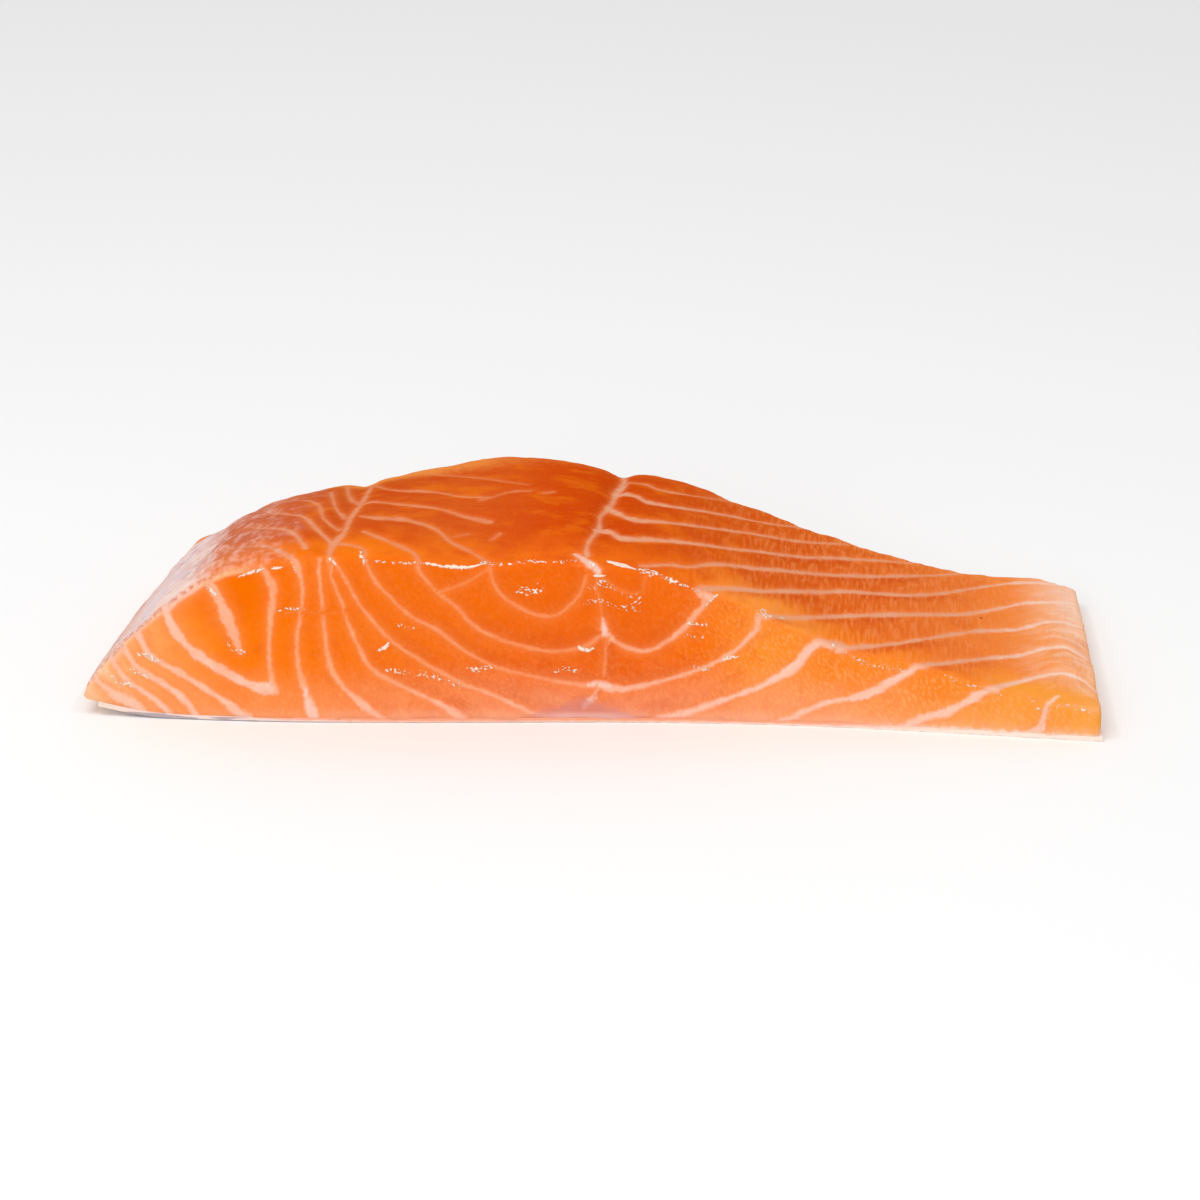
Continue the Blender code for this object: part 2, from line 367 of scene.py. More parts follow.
def first_hit(start, direction):
    """The first place on the flesh along a ray, or None beside it."""
    return flesh_surface.ray_cast(Vector(start), Vector(direction))[0]


def normals_at(places):
    """The directions that the flesh faces at these places on it."""
    return np.array([flesh_surface.find_nearest(Vector(place))[1] for place in places])


class Line:
    """A sheet's edge on the surface: its places, sideways directions, half widths and paleness."""

    def __init__(self, places, half_widths, pale):
        self.places = places
        self.half_widths = half_widths
        self.pale = pale
        ahead = unit(np.gradient(places, axis=0))
        self.sideways = unit(np.cross(normals_at(places), ahead))


def laid_on_flesh(points, widths, pale):
    """The line whose points in the photo are given, on the surface that shows there."""
    curve = curve_through(points, TRACE_STEP)
    hits = [first_hit(camera_place, sight_line(x, y)) for x, y in curve]
    places = np.array([place for place in hits if place is not None])
    steps, knots = np.linspace(0, 1, len(places)), np.linspace(0, 1, len(widths))
    half_pixels = np.interp(steps, knots, widths)
    places, half_pixels = even_steps(places, LINE_STEP, half_pixels)
    line = Line(places, half_pixels, pale)
    for index, (place, side) in enumerate(zip(line.places, line.sideways)):
        pixels_per_mm = math.dist(seen_at(place + side / 2), seen_at(place - side / 2))
        line.half_widths[index] /= max(pixels_per_mm, PIXELS_PER_MM / FLATTEST_SHARE)
    line.half_widths *= 1 + WOBBLE * uneven(line.places, WOBBLE_SIZE, WOBBLE_SEED)
    return line


lines = {name: laid_on_flesh(*trace) for name, trace in TRACED.items()}
print("traced", len(lines), "lines,", sum(len(l.places) for l in lines.values()), "places")

# %% [markdown]
# ## The hidden cut
# The photo doesn't show the rear cut. It cuts the same nested cones 50 mm further along the fish,
# so it shows the same rings, moved outwards. The front rings are re-laid on it: two short lists
# say where the places across the front edge come to lie across the rear edge, which makes each
# ring meet the stripe that runs over the top, and its height is kept as a share of the thickness.

# %% Lines on the rear cut
FRONT_PLACES = (
    -78.6, -52.0, -47.0, -40.0, -28.0, -17.0, 1.0, 16.5, 25.0, 35.5, 50.5, 61.0, 70.0, 78.3,
)
REAR_PLACES = (
    -69.5, -58.0, -51.0, -39.0, -27.0, -15.0, 2.0, 27.0, 33.0, 40.0, 49.0, 57.0, 71.0, 75.0,
)
CUT_FACING = 0.7
FEWEST_FRONT_PLACES = 8
FEWEST_REAR_PLACES = 4
FAR_OFF = 60.0
ABOVE_SKIN = 3.0
INSIDE_EDGE = 1.5
FLESH_FOOT = 1.1


def height_of_top(x, y):
    """Height of the flesh's upper side at a place, or None beside it."""
    place = first_hit((x, y, FAR_OFF), (0, 0, -1))
    return None if place is None else place.z


def on_rear_cut(line):
    """The stretch of a line that lies on the front cut, laid again on the rear cut."""
    on_front = normals_at(line.places)[:, 1] < -CUT_FACING
    if on_front.sum() < FEWEST_FRONT_PLACES:
        return None
    places, halves = [], []
    for (x, y, z), half in zip(line.places[on_front], line.half_widths[on_front]):
        front_top = height_of_top(x, y + INSIDE_EDGE)
        rear_x = float(np.interp(x, FRONT_PLACES, REAR_PLACES))
        rear_hit = first_hit((rear_x, FAR_OFF, ABOVE_SKIN), (0, -1, 0))
        if front_top is None or rear_hit is None:
            continue
        rear_top = height_of_top(rear_x, rear_hit.y - INSIDE_EDGE)
        if rear_top is None:
            continue
        height = (z - FLESH_FOOT) * (rear_top - FLESH_FOOT) / (front_top - FLESH_FOOT)
        places.append((rear_x, rear_hit.y, FLESH_FOOT + height))
        halves.append(half)
    if len(places) < FEWEST_REAR_PLACES:
        return None
    return Line(*even_steps(np.array(places), LINE_STEP, halves), line.pale)


moved = {"rear_" + name: on_rear_cut(line) for name, line in lines.items()}
rear_lines = {name: line for name, line in moved.items() if line is not None}
lines.update(rear_lines)
print("laid", len(rear_lines), "lines on the rear cut")

# %% [markdown]
# ## The belly end
# The portion ends where the belly was trimmed. The sheets that run over the top turn down there
# to the skin, leaning a little to the front, so each line that reaches the end is carried on over
# it.

# %% Lines on the belly end
BELLY_END_FROM = 72.6
END_LEAN = 2.6
END_FOOT = 1.5
END_HALF_WIDTH = 0.35
END_STEPS = 10
BEYOND_END = 20.0


def down_belly_end(line):
    """The line again from where it stops on top, over the belly end and down to the skin."""
    x, y, z = line.places[-1]
    places = [(x, y, z)]
    for share in np.linspace(1 / END_STEPS, 1.0, END_STEPS):
        start = (x + BEYOND_END, y - END_LEAN * share, z + (END_FOOT - z) * share)
        hit = first_hit(start, (-1, 0, 0))
        if hit is not None:
            places.append(tuple(hit))
    halves = np.linspace(line.half_widths[-1], END_HALF_WIDTH, len(places))
    return Line(*even_steps(np.array(places), LINE_STEP, halves), line.pale)


end_lines = {
    "end_" + name: down_belly_end(line)
    for name, line in lines.items()
    if line.places[-1][0] > BELLY_END_FROM and line.places[-1][2] > 2 * END_FOOT
}
lines.update(end_lines)
print("laid on the belly end:", *end_lines)

# %% [markdown]
# ## How far each point is from a line
# A material can't look up a line, but it can read numbers stored on the points. Each point stores
# the distance to the nearest line twice, once with a sign for the side it is on, and once
# without. The signed one crosses zero in the middle of the line, so it draws a thin line sharply
# between points. That only holds where the points around have the same line as their nearest, so
# a third number says where the sign can be trusted.

# %% Distances to the lines
FARTHEST = 12.0
SAME_LINE_GAP = 1.6
SAME_LINE_TURN = 0.4

corners = np.empty(len(flesh.data.loops), np.int32)
flesh.data.loops.foreach_get("vertex_index", corners)
squares = corners.reshape(-1, 4)


def store_distances(piece, name, laid):
    """Stores how far each point is from these lines, and what the nearest one says of itself."""
    places = np.concatenate([line.places for line in laid])
    sideways = np.concatenate([line.sideways for line in laid])
    halves = np.concatenate([line.half_widths for line in laid])
    pales = np.concatenate([np.full(len(line.places), line.pale) for line in laid])
    tree = KDTree(len(places))
    for index, place in enumerate(places):
        tree.insert(Vector(place), index)
    tree.balance()
    found = [tree.find(Vector(place)) for place in flesh_points]
    nearest = np.array([index for _, index, _ in found])
    near = np.minimum([distance for _, _, distance in found], FARTHEST)
    side = np.einsum("ij,ij->i", flesh_points - places[nearest], sideways[nearest])
    trusted = np.ones(len(flesh_points))
    for first, second in combinations(range(squares.shape[1]), 2):
        one, other = nearest[squares[:, first]], nearest[squares[:, second]]
        gap = np.linalg.norm(places[one] - places[other], axis=1)
        turn = np.einsum("ij,ij->i", sideways[one], sideways[other])
        trusted[squares[(gap > SAME_LINE_GAP) | (turn < SAME_LINE_TURN)]] = 0.0
    said = {"half": halves[nearest], "pale": pales[nearest]}
    for ending, values in {"side": side, "near": near, "trust": trusted, **said}.items():
        write_attribute(piece, name + "_" + ending, values)
    return near


fat_near = store_distances(flesh, "fat", list(lines.values()))
print("points within a millimetre of a line:", int((fat_near < 1).sum()))

# %% [markdown]
# ## Beads of moisture and their painted glints
# Fresh fish is wet, and small beads and films of water stand along the edge between the cut and
# the inner side, where they shine. The shine is partly real gloss and partly painted glints of
# near-white colour. They are much smaller than the mesh's squares, so they are traced and stored
# in the same way as the fat. Here the last number says how broken the film is: 0 is one long
# bead and 1 a row of dots.

# %% Traced beads and painted glints
BEADS_AND_GLINTS = {
    "edge_long": (((427, 563), (440, 566), (455, 567), (470, 567), (483, 563)),
        (0.8, 1.9, 0.8), 0),
    "edge_left": (((366, 561), (380, 562), (398, 563), (422, 563)), (0.8, 0.6, 0.8), 0.6),
    "edge_left_knot": (((361, 552), (363, 559), (366, 567)), (1, 1.9, 0.8), 0.5),
    "edge_groove": (((331, 560), (334, 563)), (0.9, 0.9), 0.2),
    "edge_core": (((486, 561), (505, 564), (530, 561), (555, 562), (578, 560)),
        (1.1, 0.9, 1), 0.7),
    "edge_node": (((592, 562), (597, 567)), (1.1, 1.4), 0.4),
    "edge_lobe": (((611, 562), (622, 565), (633, 568)), (1.2, 1.5, 0.8), 0.1),
    "edge_slope": (((643, 570), (654, 572), (665, 577), (676, 582), (688, 587), (698, 590)),
        (1.6, 1.3, 1, 1.7, 1.1, 0.6), 0.5),
    "edge_ring": (((756, 616), (762, 611), (768, 615), (782, 617)), (1.1, 1.7, 0.9, 0.6), 0.6),
    "edge_film": (((706, 605), (712, 600), (716, 596)), (0.8, 1.2, 0.8), 0.5),
    "edge_belly": (((834, 645), (842, 652), (858, 660), (874, 666), (906, 671)),
        (1, 1.3, 0.8), 0.8),
    "edge_low": (((944, 675), (960, 683), (975, 687), (1000, 694)), (0.7, 0.9, 0.7), 0.85),
    "edge_end": (((1032, 700), (1043, 711), (1064, 705), (1086, 710), (1100, 716)),
        (0.9, 1.2), 0.8),
    "loop_film": (((241, 576), (250, 573), (262, 569)), (0.7, 1.2, 0.9), 0.3),
    "loop_film_end": (((274, 568), (284, 567)), (0.9, 0.8), 0.3),
    "ring_film": (((291, 562), (295, 570)), (0.6, 0.5), 0.4),
    "core_knot": (((518, 592), (525, 589), (532, 593), (540, 590)), (1.4, 1.8, 1.4), 0.6),
    "core_dots": (((518, 587), (526, 595), (536, 587)), (1, 1.2), 0.8),
    "core_dash": (((597, 576), (604, 576)), (1.4, 1.2), 0),
    "core_row": (((593, 588), (604, 584), (616, 589), (622, 592)), (1.4, 1.6, 1), 0.8),
    "core_row_low": (((586, 603), (600, 601), (614, 606), (628, 608), (637, 608)),
        (1.2, 1.6), 0.75),
    "core_patch": (((627, 598), (634, 596), (640, 600), (634, 604)), (1.4, 1.4), 0.7),
    "mid_dash": (((581, 648), (586, 650), (591, 649)), (1, 1.8, 1), 0.2),
    "mid_dots": (((558, 671), (566, 668), (573, 670)), (1, 1.2), 0.7),
    "mid_left": (((471, 669), (480, 670), (489, 668)), (1.2, 1.8, 1.2), 0.6),
    "left_row": (((389, 670), (402, 672), (418, 674), (434, 676), (446, 681), (456, 685)),
        (1.2, 1.6), 0.75),
    "left_dots": (((381, 649), (387, 645)), (1.2, 1.4), 0.5),
    "left_high": (((399, 625), (411, 628)), (0.9, 1), 0.7),
    "right_dash": (((690, 623), (698, 624), (704, 625)), (1, 1.2), 0.5),
    "right_dash_low": (((688, 636), (703, 637)), (1, 1), 0.7),
    "right_low": (((721, 661), (728, 658), (736, 657)), (0.9, 1.2), 0.5),
    "right_row": (((697, 668), (706, 670), (715, 669)), (0.9, 0.9), 0.7),
    "tip_row": (((141, 655), (148, 656), (155, 660), (160, 661)), (1.4, 1.6, 1), 0.5),
    "tip_dots": (((107, 673), (112, 676), (118, 682), (128, 684)), (1.2, 1.4), 0.7),
    "tip_film": (((132, 669), (138, 673), (145, 676)), (1.2, 1.2), 0.6),
    "strip_dots": (((227, 641), (233, 650), (240, 652)), (1, 1.6), 0.7),
    "strip_top": (((209, 589), (214, 593)), (1.2, 1), 0.4),
    "dots_back": (((278, 611), (290, 609), (304, 609)), (0.7, 0.9), 0.85),
}

SCATTER = 0.85


def bead_and_glint_line(points, widths, broken):
    """A line of a bead and its painted glint, which is wider where the film is broken, because its
    dots scatter.
    """
    return laid_on_flesh(points, [width * (1 + SCATTER * broken) for width in widths], broken)


beads_and_glints = [bead_and_glint_line(*trace) for trace in BEADS_AND_GLINTS.values()]
bead_and_glint_near = store_distances(flesh, "bead_and_glint", beads_and_glints)
print("traced", len(beads_and_glints), "beads, which reach", int((bead_and_glint_near < 0.5).sum()), "points")

# %% [markdown]
# ## Relief
# The blocks of muscle swell a little between their sheets, most on the inner side, where nothing
# was cut. The whole surface is also slightly uneven. Real relief catches the light on its own, so
# it goes into the mesh, and only the finest grain is left to the material.

# %% Relief in the mesh
SHEET_SINK = 0.2
SHEET_SINK_WIDTH = 1.3
CUT_SHARE = 0.25
SWELL, SWELL_SIZE, SWELL_SEED = 0.16, 7.0, 1
GRAIN, GRAIN_SIZE, GRAIN_SEED = 0.05, 1.8, 2
BUMP, BUMP_SIZE, BUMP_SEED = 0.45, 4.5, 4
BUMPS_FROM, BUMPS_FULL = -40.0, -50.0
FACING_UP = (0.35, 0.75)
FACING_DOWN = (0.3, 0.8)
FACING_ASIDE = (0.5, 0.85)
FLESH_SETTLE = 0.75
ROUNDED_FOOT = (2.6, 0.3)
EDGE_BLUR_ROUNDS = 3

top_share = ease(flesh_normals[:, 2], *FACING_UP)
for _ in range(EDGE_BLUR_ROUNDS):
    total = np.zeros(len(top_share))
    np.add.at(total, squares, top_share[squares].mean(axis=1, keepdims=True))
    top_share = total / np.bincount(squares.ravel())
down_share = ease(-flesh_normals[:, 2], *FACING_DOWN)
cut_share = ease(np.abs(flesh_normals[:, 1]), *FACING_ASIDE)

# The sheets sink in, the muscle swells, and the membrane over the back edge is bumpy
sink = SHEET_SINK * np.exp(-((fat_near / SHEET_SINK_WIDTH) ** 2))
sink *= top_share + CUT_SHARE * cut_share
swell = SWELL * uneven(flesh_points, SWELL_SIZE, SWELL_SEED)
swell += GRAIN * uneven(flesh_points, GRAIN_SIZE, GRAIN_SEED)
bumpy = top_share * ease(flesh_points[:, 0], BUMPS_FROM, BUMPS_FULL)
swell += BUMP * bumpy * uneven(flesh_points, BUMP_SIZE, BUMP_SEED)
relief = (swell - sink) * (1 - down_share)
shaped = flesh_points + flesh_normals * relief[:, None]

# The foot of the flesh is rounded a little and settles on the skin
columns = np.round(shaped[:, 0] - shaped[:, 0].min()).astype(int)
foremost, lowest = np.full((2, columns.max() + 1), np.inf)
np.minimum.at(foremost, columns, shaped[:, 1])
np.minimum.at(lowest, columns, shaped[:, 2])
above_board = shaped[:, 2] - lowest[columns]
shaped[:, 2] -= FLESH_SETTLE * np.maximum(down_share, ease(above_board, *ROUNDED_FOOT))
write_points(flesh, shaped)
write_attribute(flesh, "inner_side", top_share)
write_attribute(flesh, "behind_cut", shaped[:, 1] - foremost[columns])
pick(flesh)
bpy.ops.object.shade_smooth()
print("relief from", round(relief.min(), 2), "to", round(relief.max(), 2), "mm")

# %% [markdown]
# ## A short language for materials
# A Blender material is a graph of nodes. Writing one node at a time hides the idea, so a small
# class wraps a socket, and plain maths on it adds the Math nodes. A second class holds a
# material, with one method that adds any other node: its type, its settings, and what its sockets
# get.

# %% Material helpers


def light(red, green, blue):
    """A colour as it is read from a picture, 0 to 255, turned into the shader's linear light."""
    parts = [part / 255 for part in (red, green, blue)]
    linear = [p / 12.92 if p <= 0.04045 else ((p + 0.055) / 1.055) ** 2.4 for p in parts]
    return (*linear, 1.0)


class Value:
    """A number in a material that changes over the surface."""

    def __init__(self, finish, socket):
        self.finish = finish
        self.socket = socket

    def maths(self, operation, *others):
        sockets = dict(enumerate((self, *others)))
        return self.finish.add("ShaderNodeMath", {"operation": operation}, sockets)

    def __add__(self, other):
        return self.maths("ADD", other)

    def __sub__(self, other):
        return self.maths("SUBTRACT", other)

    def __rsub__(self, other):
        return (self * -1.0).maths("ADD", other)

    def __mul__(self, other):
        return self.maths("MULTIPLY", other)

    def __truediv__(self, other):
        return self.maths("DIVIDE", other)

    def __pow__(self, power):
        return self.maths("POWER", power)

    def __abs__(self):
        return self.maths("ABSOLUTE")

    __radd__ = __add__
    __rmul__ = __mul__

    def least(self, other):
        return self.maths("MINIMUM", other)

    def most(self, other):
        return self.maths("MAXIMUM", other)

    def rise(self, start, end):
        """0 before start, 1 after end, and a smooth S between."""
        return self.finish.add(
            "ShaderNodeMapRange", {"interpolation_type": "SMOOTHSTEP"},
            {"Value": self, "From Min": start, "From Max": end},
        )

    def fall(self, start, end):
        """1 before start, 0 after end, and a smooth S between."""
        return 1.0 - self.rise(start, end)


class Finish:
    """A material, with the few steps that build its graph."""

    def __init__(self, name):
        self.material = bpy.data.materials.new(name)
        self.material.use_nodes = True
        self.tree = self.material.node_tree
        self.shader = self.tree.nodes["Principled BSDF"]
        place = self.add("ShaderNodeTexCoord", output="Object")
        self.place = self.add(
            "ShaderNodeVectorMath", {"operation": "SCALE"}, {0: place, "Scale": 1 / MM}
        )
        split = "ShaderNodeSeparateXYZ"
        self.x, self.y, self.z = (self.add(split, {}, {0: self.place}, axis) for axis in "XYZ")

    def feed(self, socket, value):
        if isinstance(value, Value):
            self.tree.links.new(value.socket, socket)
        else:
            socket.default_value = value

    def add(self, kind, settings=None, sockets=None, output=0):
        """Adds a node of any type and gives back one of its outputs."""
        node = self.tree.nodes.new(kind)
        for name, value in (settings or {}).items():
            setattr(node, name, value)
        for name, value in (sockets or {}).items():
            self.feed(node.inputs[name], value)
        return Value(self, node.outputs[output])

    def stored(self, name):
        """A number that the mesh stores on its points."""
        return self.add("ShaderNodeAttribute", {"attribute_name": name}, output="Fac")

    def mix(self, share, first, second):
        """A blend of two colours, each one a Value or three numbers from 0 to 255."""
        one, other = (c if isinstance(c, Value) else light(*c) for c in (first, second))
        return self.add("ShaderNodeMix", {"data_type": "RGBA"}, {0: share, 6: one, 7: other}, 2)

    def layers(self, colour, *layers):
        """The colour with layers laid over it in turn, each a share and the layer's colour."""
        for share, over in layers:
            colour = self.mix(share, colour, over)
        return colour

    def blend(self, share, first, second):
        """A blend of two numbers."""
        return self.add("ShaderNodeMix", {"data_type": "FLOAT"}, {0: share, 2: first, 3: second})

    def stretched(self, along_x, along_y, along_z, place=None):
        """The place, squeezed by these factors, for a pattern that is longer one way."""
        return self.add(
            "ShaderNodeVectorMath", {"operation": "MULTIPLY"},
            {0: place or self.place, 1: (along_x, along_y, along_z)},
        )

    def clouds(self, size, detail=2.0, place=None):
        """Soft random patches of about this size in millimetres, from 0 to 1."""
        return self.add(
            "ShaderNodeTexNoise", {},
            {"Vector": place or self.place, "Scale": 1 / size, "Detail": detail},
        )

    def ramp(self, value, stops):
        """Colours along a value, each stop with its value and its colour."""
        node = self.tree.nodes.new("ShaderNodeValToRGB")
        elements = node.color_ramp.elements
        while len(elements) < len(stops):
            elements.new(0.5)
        low, high = stops[0][0], stops[-1][0]
        for element, (at, colour) in zip(elements, stops):
            element.position = (at - low) / (high - low)
            element.color = light(*colour)
        self.feed(node.inputs[0], (value - low) / (high - low))
        return Value(self, node.outputs[0])

    def bump(self, height, distance):
        """A Normal for the shader from a height, with the relief's full height in millimetres."""
        sockets = {"Height": height, "Distance": distance * MM}
        return self.add("ShaderNodeBump", {}, sockets, "Normal")

    def finish(self, **sockets):
        """Feeds the shader's own sockets, whose names are given with _ for a space."""
        for name, value in sockets.items():
            self.feed(self.shader.inputs[name.replace("_", " ")], value)
        return self.material


print("a mid orange is", [round(part, 3) for part in light(240, 110, 30)])

# %% [markdown]
# ## The flesh's finish
# Raw salmon is orange from its food's pigment. It is deepest and reddest on the inner side and in
# the middle of the cut, yellower towards the belly, and paler where fat is mixed in. The colours
# here are chosen for a few zones and blended by place. The fat lines come from the stored
# distances, and a soft halo around them shows that light passes through the flesh.

# %% Colours of the flesh
# Red, green and blue, 0 to 255. In the zones, each colour comes after its X in millimetres.
MUSCLE_CUT = (
    (-78, (255, 222, 178)), (-69, (252, 172, 102)), (-61, (253, 140, 46)),
    (-55, (249, 122, 0)), (-46, (248, 119, 4)), (-34, (244, 118, 20)),
    (-22, (241, 113, 24)), (-7, (236, 104, 22)), (9, (238, 106, 20)),
    (17, (244, 116, 20)), (26, (253, 146, 48)), (36, (251, 136, 36)),
    (50, (250, 134, 34)), (66, (250, 148, 40)), (78, (250, 150, 30)),
)
MUSCLE_ABOVE_SKIN = (
    (-78, (250, 200, 156)), (-64, (250, 156, 92)), (-46, (248, 146, 82)),
    (-26, (244, 146, 94)), (-6, (242, 150, 108)), (10, (247, 158, 118)),
    (38, (252, 162, 112)), (52, (252, 160, 86)), (78, (253, 166, 70)),
)
MUSCLE_INNER = (
    (-60, (204, 98, 50)), (-47, (204, 86, 32)), (-37, (206, 83, 26)),
    (-19, (213, 88, 27)), (-6, (209, 72, 8)), (3, (206, 72, 8)),
    (19, (215, 89, 22)), (38, (224, 100, 30)), (52, (233, 114, 44)),
    (64, (244, 132, 58)), (71, (251, 158, 94)), (78, (254, 192, 148)),
)
RED = (204, 66, 14)
BRIGHT = (240, 122, 20)
DEEP = (240, 106, 0)
LIT = (255, 158, 66)
CORNER = (252, 156, 54)
# A painted sheen along the rim of the rear cut
REAR_RIM_SHEEN = (242, 148, 72)
LUMP = (232, 118, 24)
PINK = (250, 152, 98)
DOT = (254, 176, 108)
FIBRE = (242, 142, 84)
LOW_PALE = (252, 204, 180)
HALO = (248, 146, 80)
FAT_FAINT = (244, 136, 66)
FAT_CUT = (249, 172, 128)
FAT_THICK = (252, 202, 180)
FAT_JOINT = (247, 200, 184)
FAT_INNER = (230, 161, 127)
FAT_INNER_FAINT = (226, 132, 86)
FAT_EDGE = (254, 198, 146)
FAT_END = (255, 220, 200)
WHITE_FAT = (255, 230, 214)
DARK_MUSCLE = (214, 134, 124)
LILAC = (240, 190, 182)
MEMBRANE = (240, 216, 208)
MEMBRANE_COOL = (230, 212, 218)
MEMBRANE_STREAK = (196, 116, 90)
RUST = (196, 92, 52)
# A painted highlight: the near-white colour of the glints on the water
PAINTED_GLINT_WHITE = (255, 240, 222)
SPECK = (96, 40, 24)

# The colour of a line on the cut after how pale it is
FAT_ON_CUT = ((0.3, FAT_FAINT), (0.8, FAT_CUT), (1.0, FAT_THICK), (1.3, FAT_JOINT))
print("zones of colour:", len(MUSCLE_CUT + MUSCLE_ABOVE_SKIN + MUSCLE_INNER))

# %% [markdown]
# ## Patterns on the flesh
# A finish is built up like paint, in layers, and each layer needs a number from 0 to 1 that says
# where it shows. Those numbers are made from the place, from soft noise of a few sizes, and from
# the distances that the mesh stores. Noise added to a distance before the step is what makes a
# line look grown and not drawn.

# %% Patterns
salmon = Finish("salmon_flesh")
x, y, z = salmon.x, salmon.y, salmon.z
inner = salmon.stored("inner_side")
behind = salmon.stored("behind_cut")
cut = 1.0 - inner

fine = salmon.clouds(0.8, 3.0)
dust = salmon.clouds(0.4, 2.0)
broad = salmon.clouds(9.0, 3.0) - 0.5
patchy = salmon.clouds(2.0, 3.0) - 0.5
ragged = salmon.clouds(1.1, 3.0) - 0.5
feather = salmon.clouds(0.5, 2.0) - 0.5


def stored_line(name, roughen, feather, softness):
    """Where lines of this name show, the distance beyond their edge, and their last number."""
    near = salmon.stored(name + "_near")
    half = salmon.stored(name + "_half")
    signed = abs(salmon.stored(name + "_side") + roughen)
    across = salmon.blend(salmon.stored(name + "_trust"), near, signed)
    shown = (across - half - feather * (0.2 + half)).fall(softness * -1.0, softness)
    return shown * (near - half).fall(0.25, 0.5), near - half, salmon.stored(name + "_pale")


line, beyond, pale = stored_line("fat", ragged * 0.6, feather * 0.8, 0.36 + inner * 0.1)
rearward = salmon.stored("fat_side").rise(-0.1, 0.1)
around = beyond + ragged * 2.0
halo = (beyond + feather * 1.5).fall(-0.2, 1.3) * (0.1 + 0.7 * pale)
halo = halo + around.fall(0.0, 3.0) * cut * pale * 0.35
halo = halo + around.fall(0.0, 2.6) * x.fall(-64, -48) * 0.7
print("nodes for the patterns:", len(salmon.tree.nodes))

# %% [markdown]
# ## Muscle
# Three ramps along X give the colour halfway up the cut, just above the skin, and on the inner
# side. Where the cut meets the inner side, light comes through the thin edge from the front, so
# the cut's brighter colour is painted over it for a few millimetres as a painted glow, and a
# brighter painted pool of light lies just behind the front edge on the belly side.

# %% Muscle
muscle = salmon.mix(
    (z + broad * 8.0).fall(0.5, 11.0),
    salmon.ramp(x, MUSCLE_CUT),
    salmon.ramp(x, MUSCLE_ABOVE_SKIN),
)
# The painted glow of light through the thin front edge, and a painted pool of light behind it
edge_glow = (behind + broad * 10.0).fall(1.0, 13.0) * x.fall(28, 56)
belly_glow = (behind + ragged * 4.0).fall(1.5, 6.5) * x.rise(32, 44) * x.fall(58, 68)
lit = behind.fall(2.0, 11.0) * x.rise(14, 23) * x.fall(28, 42)
upper = salmon.layers(
    salmon.ramp(x, MUSCLE_INNER),
    (edge_glow * 0.9, muscle),
    (belly_glow * 0.6, muscle),
    (lit * 0.55, LIT),
)
muscle = salmon.mix((inner + ragged * 0.5).rise(0.3, 0.7), muscle, upper)

# Red and bright strokes on the thick side, and a redder bed above each sheet on the cut
brushed = salmon.clouds(1.0, 4.0, salmon.stretched(0.17, 0.22, 0.3))
thick_side = inner * x.fall(14, 40)
mottle = salmon.clouds(2.4, 4.0).rise(0.48, 0.7) * cut * x.fall(20, 60)
bed = (beyond + ragged * 1.5).fall(0.3, 3.4) * x.rise(-44, -26) * x.fall(12, 26)

# A painted sheen of light along the rim at the rear cut, and a red band in front of each sheet on
# the belly side
rear_rim_sheen = behind + ragged * 6.0 + 4.0 * x.fall(-22, -6) * x.rise(-44, -36)
rear_rim_sheen = rear_rim_sheen.rise(42.0, 50.0) * (0.3 + 0.5 * x.fall(-30, -8) + 0.45 * x.rise(12, 32))
band = x.rise(12, 30) * x.fall(50, 66) * beyond.fall(0.4, 3.2) * inner * (1.0 - rearward)
band = band * salmon.clouds(14.0, 1.0).rise(0.4, 0.55)

# Grains and leaning dots, fewer inside the loop near the back edge
clear = x.rise(-66, -60) * x.fall(-50, -44) * z.rise(4.0, 8.0)
high = z.rise(14.0, 21.0) * x.fall(4, 16) * cut
grains = fine.rise(0.46, 0.75) * (0.05 + 0.12 * z.fall(6.0, 18.0))
turned = salmon.add(
    "ShaderNodeVectorRotate", {"rotation_type": "Y_AXIS"}, {"Vector": salmon.place, "Angle": 0.45}
)
dots = salmon.clouds(0.42, 2.0, salmon.stretched(1.0, 1.0, 0.5, turned)).rise(0.46, 0.66) * cut
dots = dots * (0.06 + 0.2 * z.fall(2.0, 12.0) + 0.34 * x.rise(8, 30))
low_pale = (z + ragged * 1.5).fall(1.0, 3.0) * (0.25 - 0.1 * x.fall(-48, -38)) * cut

# Fibres run along the fish on the inner side
fibre = salmon.clouds(1.0, 2.0, salmon.stretched(1.9, 0.24, 0.3))
belly_side = inner * x.rise(6, 26)
dark_fibres = fibre.fall(0.36, 0.48) * belly_side * x.fall(40, 62) * (1.0 - lit)

# The pale upper edge near the back, and pale streaks beside the sheets at the belly end
edge = inner.rise(0.02, 0.24) * cut * x.fall(-55, -50)
beside = salmon.add(
    "ShaderNodeCombineXYZ", {}, {0: salmon.stored("fat_side") * 0.8, 1: x * 0.2, 2: y * 0.2}
)
beside = salmon.clouds(1.0, 1.0, beside).rise(0.44, 0.66) * x.rise(62, 76) * inner
trimmed = x.rise(64, 76) * (behind + ragged * 8.0).rise(18.0, 44.0) * inner
corner = (behind + ragged * 4.0).fall(3.0, 9.0) * x.rise(58, 66) * inner

